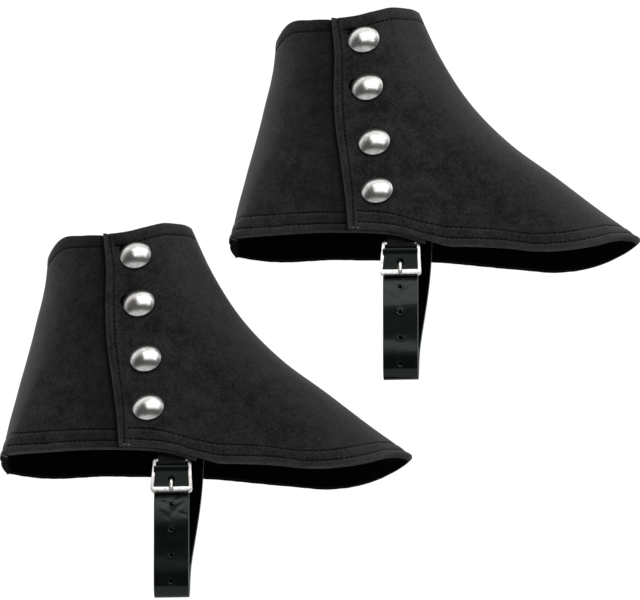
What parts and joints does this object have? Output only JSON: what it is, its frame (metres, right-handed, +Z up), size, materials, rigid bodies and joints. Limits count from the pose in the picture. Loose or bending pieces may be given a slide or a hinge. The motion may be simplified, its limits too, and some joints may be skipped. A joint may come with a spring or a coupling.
{
  "type": "pair of spats",
  "caption": "Pair of black felt spats, each a hollow ankle cover lapped and snapped on its outer side, with a buckled leather strap that passes under the foot.",
  "frame": {"origin": "middle of the lower spat's ankle opening, at its top edge, where the wearer's leg holds it", "axes": "+Z up, out of the ankle opening; +X towards the toes; -Y towards the buttoned outer side"},
  "size_m": [0.3552, 0.0675, 0.3491],
  "materials": {
    "felt": "brushed matt wool felt",
    "strap_leather": "glossy black leather with a green cast",
    "tab_leather": "plain matt black leather",
    "nickel": "polished nickel plate"
  },
  "bodies": {
    "root": {"lower_back_panel": "felt", "lower_front_panel": "felt", "lower_inner_panel": "felt", "lower_strap": "strap_leather", "lower_buckle_tab": "tab_leather", "lower_buckle_frame": "nickel", "lower_buckle_prong": "nickel", "lower_button_1": "nickel", "lower_button_2": "nickel", "lower_button_3": "nickel", "lower_button_4": "nickel", "upper_back_panel": "felt", "upper_front_panel": "felt", "upper_inner_panel": "felt", "upper_strap": "strap_leather", "upper_buckle_tab": "tab_leather", "upper_buckle_frame": "nickel", "upper_buckle_prong": "nickel", "upper_button_1": "nickel", "upper_button_2": "nickel", "upper_button_3": "nickel", "upper_button_4": "nickel"}
  },
  "joints": []
}
